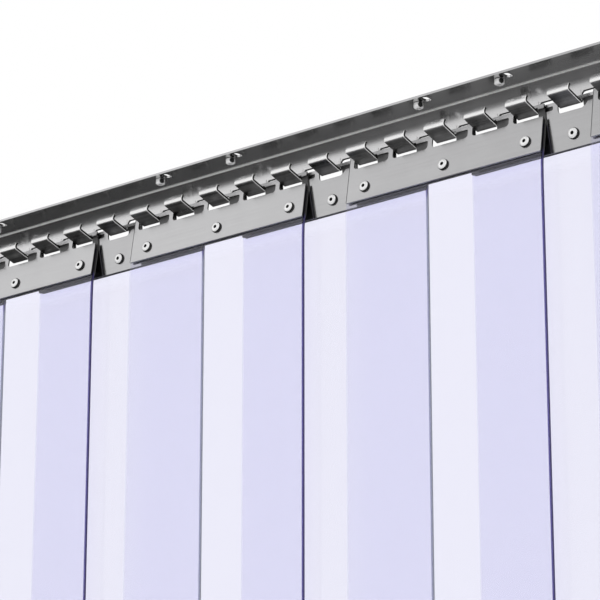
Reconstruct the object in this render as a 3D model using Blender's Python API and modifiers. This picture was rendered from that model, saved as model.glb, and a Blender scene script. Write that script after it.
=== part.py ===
"""PVC strip curtain on a stainless hook rail.

A folded rail with 26 hook fingers carries eight hanging units in two layers. Each unit is a PVC strip
clamped between a windowed hook plate and a rear clamp plate by three blind rivets. The bar above the
windows lies in the fingers, and the unit swings about it.

Frame: X along the rail, -Y towards the viewer, +Z up. The origin is on the rail's top mounting face,
half way along it.
"""
import math

import bmesh
import bpy
from mathutils import Matrix, Vector

MM = 0.001

# Rail: sheet, comb pitch and folds
SHEET = 2.0 * MM
PITCH = 41.0 * MM
SOFFIT_DEPTH = 29.3 * MM
FACE_Y = 14.7 * MM
TOP_FOLD_RADIUS = 0.6 * MM
ROOT_DROP = 28.75 * MM
ROOT_RADIUS = 0.6 * MM
SLOPE_ANGLE = math.radians(16.0)
SLOPE_LENGTH = 17.6 * MM
NOSE_RADIUS = 0.4 * MM
LIP_LEAN = math.radians(27.4)
LIP_CURL = math.radians(19.0)
LIP_LENGTH = 5.4 * MM
GAP_TOP_RISE = 7.25 * MM
GAP_CORNER_RADIUS = 3.0 * MM
LIP_CORNER_RADIUS = 2.6 * MM
LIP_ZONE_Y = -8.0 * MM

# Holes and screws of the soffit
SCREW_PITCHES = (-10, -8, -3, -1, 4, 6, 11)
SCREW_OFFSET = 5.1 * MM
SCREW_EDGE = 10.3 * MM
SPARE_EDGE = 7.05 * MM
SCREW_CLEARANCE = 0.4 * MM
SPARE_HOLE_SHIFT = 10.4 * MM
SPARE_HOLE_WIDTH = 6.0 * MM
SPARE_HOLE_LENGTH = 9.5 * MM
SPARE_HOLE_CORNER = 2.8 * MM
SCREW_HEAD_RADIUS = 4.2 * MM
SCREW_HEAD_HEIGHT = 5.0 * MM
SCREW_SHANK_RADIUS = 2.5 * MM

# Hanging units
UNIT_COUNT = 8
UNIT_HOOKS = 5
OVERLAP_HOOKS = 2
UNIT_SHIFT = 0.8 * MM
PLATE = 1.5 * MM
CLAMP = 1.2 * MM
PLATE_SPACING = 6.5 * MM
PLATE_END_RADIUS = 1.0 * MM
BAR_HEIGHT = 2.7 * MM
PLATE_BOTTOM_DROP = 68.4 * MM
WINDOW_CLEARANCE = 2.05 * MM
WINDOW_WEB = 4.5 * MM
STEP_CLEARANCE = 1.25 * MM
WINDOW_STEP_DROP = 1.4 * MM
WINDOW_RADIUS = 3.0 * MM
FRONT_WINDOW_DEPTH = 11.8 * MM
BACK_WINDOW_DEPTH = 9.35 * MM
BACK_SHOULDER_DEPTH = 3.6 * MM
NARROW_CLEARANCE = 3.05 * MM
BACK_SHOULDER_RUN = 3.5 * MM
TAB_CLEARANCE = 0.65 * MM
TAB_FAR_CLEARANCE = 5.75 * MM
TAB_RADIUS = 1.5 * MM
TAB_TOP = 3.7 * MM
BACK_TAB_TOP = 2.2 * MM
CLAMP_TOP = 16.9 * MM
CLAMP_FOOT = 0.3 * MM
FLARE_HEIGHT = 5.0 * MM
FLARE_OUT = 0.8 * MM

# The two layers: bar position on the fingers and the lean at rest
BACK_BAR_Y = -1.75 * MM
BACK_BAR_RISE = 1.7 * MM
BACK_LEAN = math.radians(2.0)
FRONT_BAR_Y = -3.47 * MM
FRONT_BAR_RISE = 3.5 * MM
FRONT_LEAN = math.radians(-9.0)

# PVC strips
STRIP_PROUD = 0.75 * MM
STRIP = 2.0 * MM
CURTAIN_DROP = 2000.0 * MM
RELAX_LENGTH = 8.0 * MM

# Blind rivets
RIVET_EDGE = 17.25 * MM
RIVET_UP = 12.0 * MM
RIVET_SHIFT = 1.8 * MM
RIVET_HEAD_RADIUS = 5.0 * MM
RIVET_HEAD_HEIGHT = 2.4 * MM
RIVET_SHANK_RADIUS = 2.4 * MM
RIVET_CLEARANCE = 0.55 * MM
RIVET_SWELL = 1.0 * MM
RIVET_TAIL_HEIGHT = 2.2 * MM

# Clearance between touching pieces and how far cutters reach past them
GAP = 0.3 * MM
OVER = 5.0 * MM
ROUND_STEPS = 2
TURN_SEGMENTS = 10
BORE_SEGMENTS = 8


def new_collection(name):
    collection = bpy.data.collections.new(name)
    bpy.context.scene.collection.children.link(collection)
    return collection


def new_material(name, colour, metallic, roughness, transmission):
    material = bpy.data.materials.new(name)
    material.use_nodes = True
    shader = material.node_tree.nodes["Principled BSDF"]
    shader.inputs["Base Color"].default_value = (*colour, 1.0)
    shader.inputs["Metallic"].default_value = metallic
    shader.inputs["Roughness"].default_value = roughness
    shader.inputs["Transmission Weight"].default_value = transmission
    return material


def fillet(corners, steps=ROUND_STEPS):
    """Outline points of a path whose corners (a, b, radius) are rounded with arcs."""
    points = []
    count = len(corners)
    for i, (a, b, radius) in enumerate(corners):
        here = Vector((a, b))
        if radius == 0.0:
            points.append(here)
            continue
        back = (Vector(corners[i - 1][:2]) - here).normalized()
        ahead = (Vector(corners[(i + 1) % count][:2]) - here).normalized()
        half = math.acos(max(-1.0, min(1.0, back.dot(ahead)))) / 2
        reach = radius / math.tan(half)
        centre = here + (back + ahead).normalized() * (radius / math.sin(half))
        start = here + back * reach - centre
        finish = here + ahead * reach - centre
        turn = start.angle_signed(finish)
        for k in range(steps + 1):
            points.append(centre + Matrix.Rotation(-turn * k / steps, 2) @ start)
    return [tuple(p) for p in points]


def mesh_object(name, bm, collection, material=None):
    mesh = bpy.data.meshes.new(name)
    bm.to_mesh(mesh)
    bm.free()
    part = bpy.data.objects.new(name, mesh)
    if material:
        mesh.materials.append(material)
    collection.objects.link(part)
    return part


def sheet(name, profile, x0, x1, thickness, side, material):
    """A folded sheet: the profile (y, z) swept along X and thickened to one side or both."""
    bm = bmesh.new()
    verts = [bm.verts.new((x0, y, z)) for y, z in profile]
    edges = [bm.edges.new(pair) for pair in zip(verts, verts[1:])]
    swept = bmesh.ops.extrude_edge_only(bm, edges=edges)
    moved = [g for g in swept["geom"] if isinstance(g, bmesh.types.BMVert)]
    bmesh.ops.translate(bm, verts=moved, vec=(x1 - x0, 0.0, 0.0))
    part = mesh_object(name, bm, parts, material)
    solidify = part.modifiers.new("Sheet thickness", "SOLIDIFY")
    solidify.thickness = thickness
    solidify.offset = side
    solidify.use_even_offset = True
    return part


def add_prism(bm, outline, axis, low, high):
    """One closed prism over an outline, along Y or Z."""
    if axis == "Y":
        corners = [(a, low, b) for a, b in outline]
        along = Vector((0.0, high - low, 0.0))
    else:
        corners = [(a, b, low) for a, b in outline]
        along = Vector((0.0, 0.0, high - low))
    base = bm.faces.new([bm.verts.new(c) for c in corners])
    grown = bmesh.ops.extrude_face_region(bm, geom=[base])
    moved = [g for g in grown["geom"] if isinstance(g, bmesh.types.BMVert)]
    bmesh.ops.translate(bm, verts=moved, vec=along)


def add_bore(bm, x, z, radius, low, high):
    """One closed cylinder along Y."""
    place = Matrix.Translation((x, (low + high) / 2, z)) @ Matrix.Rotation(math.pi / 2, 4, "X")
    bmesh.ops.create_cone(bm, cap_ends=True, segments=BORE_SEGMENTS, radius1=radius, radius2=radius,
                          depth=high - low, matrix=place)


def cut(part, name, bm):
    """Cuts the closed shapes in bm out of a part."""
    bmesh.ops.recalc_face_normals(bm, faces=bm.faces)
    cutter = mesh_object(name, bm, cutters)
    cutter.hide_render = True
    cutter.display_type = "WIRE"
    cutter.parent = part.parent
    boolean = part.modifiers.new(name, "BOOLEAN")
    boolean.operation = "DIFFERENCE"
    boolean.solver = "EXACT"
    boolean.object = cutter
    return cutter


def turned(name, profile, material):
    """A turned piece: the profile (radius, height), from the top down, screwed about Z."""
    bm = bmesh.new()
    verts = [bm.verts.new((r, 0.0, z)) for r, z in profile]
    for pair in zip(verts, verts[1:]):
        bm.edges.new(pair)
    part = mesh_object(name, bm, parts, material)
    screw = part.modifiers.new("Turn", "SCREW")
    screw.axis = "Z"
    screw.steps = TURN_SEGMENTS
    screw.render_steps = TURN_SEGMENTS
    screw.use_merge_vertices = True
    screw.merge_threshold = 0.00001
    screw.use_smooth_shade = False
    return part


for old in list(bpy.data.objects):
    bpy.data.objects.remove(old, do_unlink=True)

parts = new_collection("PVC strip curtain")
cutters = new_collection("Cutters")

rail_steel = new_material("Rail stainless", (0.60, 0.60, 0.60), 1.0, 0.28, 0.0)
plate_steel = new_material("Plate stainless", (0.66, 0.66, 0.66), 1.0, 0.25, 0.0)
rivet_steel = new_material("Rivet stainless", (0.72, 0.72, 0.72), 1.0, 0.22, 0.0)
screw_zinc = new_material("Screw zinc", (0.78, 0.80, 0.82), 1.0, 0.18, 0.0)
pvc = new_material("Clear PVC", (0.80, 0.79, 0.97), 0.0, 0.12, 0.85)

# Sizes that follow from the ones above: a finger is as wide as the gap beside it, and a unit's plate
# spans its hooks less a small spacing, with the strip just wider than the plate.
finger_count = UNIT_COUNT * (UNIT_HOOKS - OVERLAP_HOOKS) + OVERLAP_HOOKS
half_rail = finger_count * PITCH / 2
half_finger = PITCH / 4
unit_step = (UNIT_HOOKS - OVERLAP_HOOKS) * PITCH
half_plate = (UNIT_HOOKS * PITCH - PLATE_SPACING) / 2
half_strip = half_plate + STRIP_PROUD
window_left = -half_finger - WINDOW_CLEARANCE
window_right = window_left + PITCH - WINDOW_WEB
rivet_hole_radius = RIVET_SHANK_RADIUS + RIVET_CLEARANCE

# Rail
# The profile is the inside face of the fold: soffit, vertical flange, root bend, slope and a lip that
# starts nearly upright and curls back towards the flange.
root_centre = (-ROOT_RADIUS, -ROOT_DROP)
root_turn = math.pi / 2 + SLOPE_ANGLE
root_arc = []
for k in range(5):
    angle = -root_turn * k / 4
    root_arc.append((root_centre[0] + ROOT_RADIUS * math.cos(angle),
                     root_centre[1] + ROOT_RADIUS * math.sin(angle)))
nose = (root_arc[-1][0] - SLOPE_LENGTH * math.cos(SLOPE_ANGLE),
        root_arc[-1][1] + SLOPE_LENGTH * math.sin(SLOPE_ANGLE))
lip = [nose]
for turn in (-LIP_CURL, 0.0, LIP_CURL):
    y, z = lip[-1]
    lean = LIP_LEAN + turn
    lip.append((y + LIP_LENGTH / 3 * math.sin(lean), z + LIP_LENGTH / 3 * math.cos(lean)))
soffit_edge = (-SOFFIT_DEPTH, 0.0)
fold = fillet([(*soffit_edge, 0.0), (0.0, 0.0, TOP_FOLD_RADIUS), (*root_arc[0], 0.0)], 2)
hook = fillet([(*root_arc[-1], 0.0), (*nose, NOSE_RADIUS), (*lip[1], 0.0)], 2)
inside = fold + root_arc[1:] + hook[1:] + lip[2:]
rail = sheet("hook_rail", [(y + FACE_Y, z - SHEET) for y, z in inside],
             -half_rail, half_rail, SHEET, 1.0, rail_steel)

# Comb gaps between the fingers, with round top corners, and the rounded corners of the lips
finger_x = [(i - (finger_count - 1) / 2) * PITCH for i in range(finger_count)]
low_z = -ROOT_DROP - SHEET - ROOT_RADIUS - OVER - SHEET
gap_top_z = GAP_TOP_RISE - ROOT_DROP - SHEET
lip_top_z = lip[-1][1] + SHEET * math.sin(LIP_LEAN + LIP_CURL) - SHEET
open_z = lip_top_z + OVER
gap_cut = bmesh.new()
lip_cut = bmesh.new()
for i in range(finger_count + 1):
    left = finger_x[i - 1] + half_finger if i > 0 else -half_rail - OVER
    right = finger_x[i] - half_finger if i < finger_count else half_rail + OVER
    left_r = GAP_CORNER_RADIUS if i > 0 else 0.0
    right_r = GAP_CORNER_RADIUS if i < finger_count else 0.0
    outline = fillet([(left, low_z, 0.0), (right, low_z, 0.0),
                      (right, gap_top_z, right_r), (left, gap_top_z, left_r)])
    add_prism(gap_cut, outline, "Y", FACE_Y + LIP_ZONE_Y, FACE_Y + SHEET + OVER)
    corner = LIP_CORNER_RADIUS
    outline = [(left, low_z), (right, low_z)]
    if i < finger_count:
        for k in range(ROUND_STEPS + 1):
            angle = math.pi / 2 * k / ROUND_STEPS
            outline.append((right + corner * (1 - math.cos(angle)),
                            lip_top_z - corner * (1 - math.sin(angle))))
        outline.append((right + corner, open_z))
    else:
        outline.append((right, open_z))
    if i > 0:
        outline.append((left - corner, open_z))
        for k in range(ROUND_STEPS + 1):
            angle = math.pi / 2 * (1 - k / ROUND_STEPS)
            outline.append((left - corner * (1 - math.cos(angle)),
                            lip_top_z - corner * (1 - math.sin(angle))))
    else:
        outline.append((left, open_z))
    add_prism(lip_cut, outline, "Y", FACE_Y - SOFFIT_DEPTH, FACE_Y + LIP_ZONE_Y + GAP)
cut(rail, "comb_gaps", gap_cut)
cut(rail, "lip_corners", lip_cut)

# Round screw holes and, beside each, a spare oval hole across the soffit
screw_y = FACE_Y - SOFFIT_DEPTH + SCREW_EDGE
spare_y = FACE_Y - SOFFIT_DEPTH + SPARE_EDGE
screw_hole_radius = SCREW_SHANK_RADIUS + SCREW_CLEARANCE
screw_x = [n * PITCH + SCREW_OFFSET for n in SCREW_PITCHES]
hole_cut = bmesh.new()
for x in screw_x:
    place = Matrix.Translation((x, screw_y, -SHEET / 2))
    bmesh.ops.create_cone(hole_cut, cap_ends=True, segments=TURN_SEGMENTS, radius1=screw_hole_radius,
                          radius2=screw_hole_radius, depth=SHEET + OVER, matrix=place)
    a = x + SPARE_HOLE_SHIFT - SPARE_HOLE_WIDTH / 2
    b = x + SPARE_HOLE_SHIFT + SPARE_HOLE_WIDTH / 2
    c = spare_y - SPARE_HOLE_LENGTH / 2
    d = spare_y + SPARE_HOLE_LENGTH / 2
    outline = fillet([(a, c, SPARE_HOLE_CORNER), (b, c, SPARE_HOLE_CORNER),
                      (b, d, SPARE_HOLE_CORNER), (a, d, SPARE_HOLE_CORNER)])
    add_prism(hole_cut, outline, "Z", -SHEET - OVER, OVER)
cut(rail, "soffit_holes", hole_cut)

# Fixing screws: dome heads under the soffit, shanks level with the mounting face
head_seat = -SHEET - GAP
head_end = head_seat - SCREW_HEAD_HEIGHT
for n, x in enumerate(screw_x, 1):
    profile = [(0.0, 0.0), (SCREW_SHANK_RADIUS, 0.0), (SCREW_SHANK_RADIUS, head_seat),
               (SCREW_HEAD_RADIUS, head_seat),
               (SCREW_HEAD_RADIUS, head_seat - SCREW_HEAD_HEIGHT * 0.55),
               (SCREW_HEAD_RADIUS * 0.88, head_seat - SCREW_HEAD_HEIGHT * 0.84),
               (SCREW_HEAD_RADIUS * 0.6, head_end), (0.0, head_end)]
    screw = turned("fixing_screw_%d" % n, profile, screw_zinc)
    screw.location = (x, screw_y, 0.0)


def window_outlines(front, top_z):
    """The windows of a hook plate, one to a hook, left to right, below its bar."""
    outlines = []
    for k in range(UNIT_HOOKS):
        middle = (k - (UNIT_HOOKS - 1) / 2) * PITCH
        left = middle + window_left
        right = middle + window_right
        high = top_z - BAR_HEIGHT
        if front:
            low = high - FRONT_WINDOW_DEPTH + BAR_HEIGHT
            step = middle + half_finger + STEP_CLEARANCE
            mid = high - WINDOW_STEP_DROP
            r = WINDOW_RADIUS
            outlines.append(fillet([(left, low, r), (right, low, r), (right, mid, r / 2),
                                    (step, mid, 0.0), (step, high, 0.0), (left, high, 0.0)]))
        else:
            low = high - BACK_WINDOW_DEPTH + BAR_HEIGHT / 2
            shoulder = high - BACK_SHOULDER_DEPTH
            narrow = middle + half_finger + NARROW_CLEARANCE
            r = WINDOW_RADIUS
            outlines.append(fillet([(left, low, r), (narrow, low, r),
                                    (narrow, shoulder - BACK_SHOULDER_RUN, 0.0),
                                    (narrow + BACK_SHOULDER_RUN, shoulder, 0.0),
                                    (right, shoulder, r / 2), (right, high, 0.0), (left, high, 0.0)]))
    return outlines


def end_corners(bottom_z):
    """Cutter outlines that round a plate's two bottom corners."""
    outlines = []
    r = PLATE_END_RADIUS
    for side in (-1, 1):
        edge = side * half_plate
        points = [(edge + side * OVER, bottom_z + r), (edge + side * OVER, bottom_z - OVER),
                  (edge - side * r, bottom_z - OVER)]
        for k in range(ROUND_STEPS + 1):
            angle = math.pi / 2 * k / ROUND_STEPS
            points.append((edge - side * r * (1 - math.sin(angle)), bottom_z + r * (1 - math.cos(angle))))
        outlines.append(points)
    return outlines


# Hanging units, left to right, the first in the back layer
for unit in range(UNIT_COUNT):
    number = unit + 1
    front = unit % 2 == 1
    lean = FRONT_LEAN if front else BACK_LEAN
    bar_y = FACE_Y + (FRONT_BAR_Y if front else BACK_BAR_Y)
    bar_z = -SHEET - ROOT_DROP + (FRONT_BAR_RISE if front else BACK_BAR_RISE)
    centre_x = (unit - (UNIT_COUNT - 1) / 2) * unit_step + UNIT_SHIFT

    # The empty marks the axis about which the unit swings on the fingers.
    hinge = bpy.data.objects.new("hinge_%d" % number, None)
    hinge.empty_display_size = PITCH
    hinge.location = (centre_x, bar_y, bar_z)
    hinge.rotation_euler = (lean, 0.0, 0.0)
    parts.objects.link(hinge)

    # Heights and layers in the hinge's frame. The front bar turns on its top inner edge, the back
    # bar about its middle.
    top_z = 0.0 if front else BAR_HEIGHT / 2
    plate_back = 0.0 if front else PLATE / 2
    bottom_z = -(bar_z + SHEET + PLATE_BOTTOM_DROP) / math.cos(lean)
    strip_y = plate_back + GAP + STRIP / 2
    clamp_front = plate_back + GAP + STRIP + GAP
    rivet_x = [RIVET_SHIFT + n * (half_plate - RIVET_EDGE) for n in (-1, 0, 1)]

    # Hook plate: flat in the back layer, flared outward at the foot in the front layer
    profile = [(plate_back, top_z)]
    if front:
        flare_z = bottom_z + FLARE_HEIGHT
        for k in range(5):
            t = k / 4
            profile.append((plate_back - FLARE_OUT * t * t, flare_z - FLARE_HEIGHT * t))
    else:
        profile.append((plate_back, bottom_z))
    plate = sheet("hook_plate_%d" % number, profile, -half_plate, half_plate, PLATE, -1.0, plate_steel)
    plate.parent = hinge
    rivet_z = bottom_z + RIVET_UP
    plate_cut = bmesh.new()
    for outline in window_outlines(front, top_z) + end_corners(bottom_z):
        add_prism(plate_cut, outline, "Y", plate_back - PLATE - OVER, plate_back + OVER)
    for x in rivet_x:
        add_bore(plate_cut, x, rivet_z, rivet_hole_radius, plate_back - PLATE - OVER, plate_back + OVER)
    cut(plate, "windows_%d" % number, plate_cut)

    # Clamp plate: flat behind the strip, then tabs that lean forward between the fingers
    clamp_top = top_z - CLAMP_TOP
    tab_top = top_z - (TAB_TOP if front else BACK_TAB_TOP)
    foot_z = bottom_z + CLAMP_FOOT
    profile = [(plate_back + GAP, tab_top), (clamp_front, clamp_top), (clamp_front, foot_z)]
    clamp = sheet("clamp_plate_%d" % number, profile, -half_plate, half_plate, CLAMP, 1.0, plate_steel)
    clamp.parent = hinge
    clamp_cut = bmesh.new()
    for k in range(UNIT_HOOKS):
        middle = (k - (UNIT_HOOKS - 1) / 2) * PITCH
        left = middle - half_finger - TAB_FAR_CLEARANCE
        right = middle + half_finger + TAB_CLEARANCE
        low = clamp_top + GAP
        if k == 0:
            left = -half_plate - OVER
        outline = fillet([(left, low, TAB_RADIUS if k else 0.0), (right, low, TAB_RADIUS),
                          (right, tab_top + OVER, 0.0), (left, tab_top + OVER, 0.0)])
        add_prism(clamp_cut, outline, "Y", -OVER, clamp_front + CLAMP + OVER)
    for outline in end_corners(foot_z):
        add_prism(clamp_cut, outline, "Y", -OVER, clamp_front + CLAMP + OVER)
    for x in rivet_x:
        add_bore(clamp_cut, x, rivet_z, rivet_hole_radius, -OVER, clamp_front + CLAMP + OVER)
    cut(clamp, "tabs_%d" % number, clamp_cut)

    # Strip: straight in the clamp, then it eases to the vertical and hangs to the curtain's drop
    path = [(strip_y, clamp_top - GAP), (strip_y, foot_z)]
    y, z = path[-1]
    piece = RELAX_LENGTH / 2
    for k in range(7):
        turn = lean * (1.0 - math.exp(-(k + 0.5) * piece / RELAX_LENGTH))
        y -= piece * math.sin(turn)
        z -= piece * math.cos(turn)
        path.append((y, z))
    down = y * math.sin(lean) + z * math.cos(lean) + bar_z + CURTAIN_DROP
    path.append((y - down * math.sin(lean), z - down * math.cos(lean)))
    strip = sheet("strip_%d" % number, path, -half_strip, half_strip, STRIP, 0.0, pvc)
    strip.parent = hinge
    strip_cut = bmesh.new()
    for x in rivet_x:
        add_bore(strip_cut, x, rivet_z, rivet_hole_radius, strip_y - OVER, strip_y + OVER)
    cut(strip, "strip_holes_%d" % number, strip_cut)

    # Blind rivets: dome head in front, swelled tail behind the clamp plate
    stack = PLATE + GAP + STRIP + GAP + CLAMP
    tail_radius = RIVET_SHANK_RADIUS + RIVET_SWELL
    for x, place in zip(rivet_x, ("left", "mid", "right")):
        profile = [(0.0, RIVET_HEAD_HEIGHT + GAP),
                   (RIVET_HEAD_RADIUS * 0.55, RIVET_HEAD_HEIGHT * 0.86 + GAP),
                   (RIVET_HEAD_RADIUS * 0.88, RIVET_HEAD_HEIGHT * 0.48 + GAP),
                   (RIVET_HEAD_RADIUS, GAP), (RIVET_SHANK_RADIUS, GAP),
                   (RIVET_SHANK_RADIUS, -stack - GAP), (tail_radius, -stack - GAP),
                   (tail_radius, -stack - RIVET_TAIL_HEIGHT), (0.0, -stack - RIVET_TAIL_HEIGHT)]
        rivet = turned("rivet_%d_%s" % (number, place), profile, rivet_steel)
        rivet.parent = hinge
        rivet.location = (x, plate_back - PLATE, rivet_z)
        rivet.rotation_euler = (math.pi / 2, 0.0, 0.0)
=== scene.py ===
# %% [markdown]
# # A PVC strip curtain on its hook rail
# Clear strips hang in riveted steel plates from a folded rail under a lintel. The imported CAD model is
# loaded first and stays a fixed frame. Every piece made here takes the place of the CAD piece of its
# name, with finer folds, rounded edges and real finishes. Sizes are written in millimetres times MM.

# %% Load the frame
import math

import bmesh
import bpy
from mathutils import Matrix, Vector


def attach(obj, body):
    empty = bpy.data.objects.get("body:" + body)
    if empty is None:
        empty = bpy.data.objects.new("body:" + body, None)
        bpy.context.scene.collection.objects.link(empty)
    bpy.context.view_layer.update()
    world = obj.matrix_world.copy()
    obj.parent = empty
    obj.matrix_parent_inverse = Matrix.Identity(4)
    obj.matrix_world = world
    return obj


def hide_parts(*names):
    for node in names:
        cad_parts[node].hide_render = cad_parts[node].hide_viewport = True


MM = 0.001
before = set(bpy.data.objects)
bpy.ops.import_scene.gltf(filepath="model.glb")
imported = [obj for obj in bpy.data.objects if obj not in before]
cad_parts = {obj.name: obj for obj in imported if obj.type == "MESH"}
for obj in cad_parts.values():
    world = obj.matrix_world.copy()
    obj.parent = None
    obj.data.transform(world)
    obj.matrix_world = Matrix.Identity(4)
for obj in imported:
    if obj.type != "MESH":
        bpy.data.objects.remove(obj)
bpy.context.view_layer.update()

# %% [markdown]
# ## Camera
# The photograph looks up at the rail from the right with a long lens, so the hooks grow towards the
# right and the rail climbs. A long lens far away keeps the strips' edges close to parallel.

# %% Camera
CAMERA_PLACE = (1.4512, -1.7572, -0.8887)
LOOKING_UP = 17.605
TURNED_LEFT = 38.791
camera_data = bpy.data.cameras.new("view")
camera = bpy.data.objects.new("view", camera_data)
bpy.context.scene.collection.objects.link(camera)
camera.location = CAMERA_PLACE
camera.rotation_euler = (math.radians(90 + LOOKING_UP), 0, math.radians(TURNED_LEFT))
camera_data.sensor_width = 36
camera_data.lens = 168.05
camera_data.shift_y = 0.05
camera_data.clip_start = 0.05
camera_data.clip_end = 50
bpy.context.scene.camera = camera
print("lens", camera_data.lens, "mm")

# %% [markdown]
# ## Node helpers
# Light and materials are trees of nodes. A socket of a node either holds a value or is linked to what
# another node gives, so the first helper does whichever fits. The others add the two nodes that are used
# most: a mix of two values by a mask, and one range of a value stretched to another.

# %% Node helpers
def fill(tree, socket, value):
    if isinstance(value, bpy.types.NodeSocket):
        tree.links.new(value, socket)
    else:
        socket.default_value = value


def blend(tree, mask, plain, special, kind="RGBA"):
    mix = tree.nodes.new("ShaderNodeMix")
    mix.data_type = kind
    for name, value in (("Factor", mask), ("A", plain), ("B", special)):
        fill(tree, mix.inputs[name], value)
    return mix.outputs["Result"]


def stretch(tree, value, start, end, low=0.0, high=1.0, smooth=False):
    span = tree.nodes.new("ShaderNodeMapRange")
    if smooth:
        span.interpolation_type = "SMOOTHSTEP"
    for name, number in (("From Min", start), ("From Max", end), ("To Min", low), ("To Max", high)):
        span.inputs[name].default_value = number
    tree.links.new(value, span.inputs["Value"])
    return span.outputs["Result"]


print("node helpers ready")

# %% [markdown]
# ## Studio light
# Steel shows what stands round it, so the light is one large surround and not a lamp. It is pale above
# the horizon and dark below, which is why the rail's undersides are dark and its faces light. Round the
# horizon pale panels alternate with dark gaps, which gives screws and rivets their small highlights.
# Each list holds places from -1 to 1 along one axis: how grey the panels are round the horizon, how grey
# the ground is, and how far the panels take over from the ground with height.

# %% Surround for the steel
PANELS = [(-1.0, 0.30), (-0.86, 0.40), (-0.78, 0.88), (-0.62, 0.86), (-0.46, 0.72), (-0.37, 0.34),
          (-0.20, 0.36), (-0.08, 0.80), (0.45, 0.84), (0.60, 0.34), (0.80, 0.70), (1.0, 0.40)]
GROUND = [(-1.0, 0.07), (-0.67, 0.07), (-0.61, 0.10), (-0.54, 0.21), (-0.40, 0.22), (0.0, 0.16),
          (1.0, 0.22)]
RISE = [(-1.0, 0.0), (-0.14, 0.0), (0.02, 0.30), (0.12, 1.0), (1.0, 1.0)]
world = bpy.data.worlds.new("studio")
bpy.context.scene.world = world
world.use_nodes = True
sky = world.node_tree
sky.nodes.clear()
direction = sky.nodes.new("ShaderNodeTexCoord")
split = sky.nodes.new("ShaderNodeSeparateXYZ")
sky.links.new(direction.outputs["Generated"], split.inputs[0])


def greys(value, stops):
    ramp = sky.nodes.new("ShaderNodeValToRGB")
    for i, (at, level) in enumerate(stops):
        place = (at + 1) / 2
        stop = ramp.color_ramp.elements[i] if i < 2 else ramp.color_ramp.elements.new(place)
        stop.position = place
        stop.color = (level, level * 0.995, level * 1.01, 1)
    sky.links.new(stretch(sky, value, -1.0, 1.0), ramp.inputs["Fac"])
    return ramp.outputs["Color"]


above = greys(split.outputs["X"], PANELS)
below = greys(split.outputs["X"], GROUND)
surround = blend(sky, greys(split.outputs["Z"], RISE), below, above)
print("surround with", len(PANELS), "levels of grey round the horizon")

# %% [markdown]
# ## White for all else
# A photograph for a catalogue has a white background, and clear strips are only bright with white behind
# them. So only the steel's mirror rays see the grey surround, made a little uneven by soft noise. The
# camera, the clear strips and the floor meet plain white.

# %% White for all else
patches = sky.nodes.new("ShaderNodeTexNoise")
patches.inputs["Scale"].default_value = 3.5
patches.inputs["Detail"].default_value = 1.0
sky.links.new(direction.outputs["Generated"], patches.inputs["Vector"])
studio = sky.nodes.new("ShaderNodeBackground")
fill(sky, studio.inputs["Color"], surround)
fill(sky, studio.inputs["Strength"], stretch(sky, patches.outputs["Fac"], 0.3, 0.7, 0.84, 1.08))
white = sky.nodes.new("ShaderNodeBackground")
white.inputs["Color"].default_value = (1, 1, 1, 1)
ray = sky.nodes.new("ShaderNodeLightPath")
choose = sky.nodes.new("ShaderNodeMixShader")
world_out = sky.nodes.new("ShaderNodeOutputWorld")
sky.links.new(ray.outputs["Is Glossy Ray"], choose.inputs["Fac"])
sky.links.new(white.outputs[0], choose.inputs[1])
sky.links.new(studio.outputs[0], choose.inputs[2])
sky.links.new(choose.outputs[0], world_out.inputs["Surface"])
bpy.context.scene.view_settings.view_transform = "Standard"
print("view", bpy.context.scene.view_settings.view_transform)

# %% [markdown]
# ## Brushed stainless steel
# Rolled sheet has fine lines along its length. They smear reflections across the grain, which is
# anisotropy turned a quarter, and leave streaks in brightness and gloss. Noise squeezed along the rail
# gives fine and broad streaks, and a rounder noise gives the slight clouding of handled steel. Turned
# pieces have no grain along the rail, so there the noise is as fine in every direction.

# %% Steel finish
GRAIN_ALONG = 4.0
TURNED_ALONG = 700.0
BROAD_LINES = 210.0
CLOUDS = 38.0


def noise(tree, where, scale, detail):
    squeeze = tree.nodes.new("ShaderNodeMapping")
    squeeze.inputs["Scale"].default_value = scale
    texture = tree.nodes.new("ShaderNodeTexNoise")
    texture.inputs["Scale"].default_value = 1.0
    texture.inputs["Detail"].default_value = detail
    tree.links.new(where.outputs["Object"], squeeze.inputs["Vector"])
    tree.links.new(squeeze.outputs["Vector"], texture.inputs["Vector"])
    return texture.outputs["Fac"]


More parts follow.
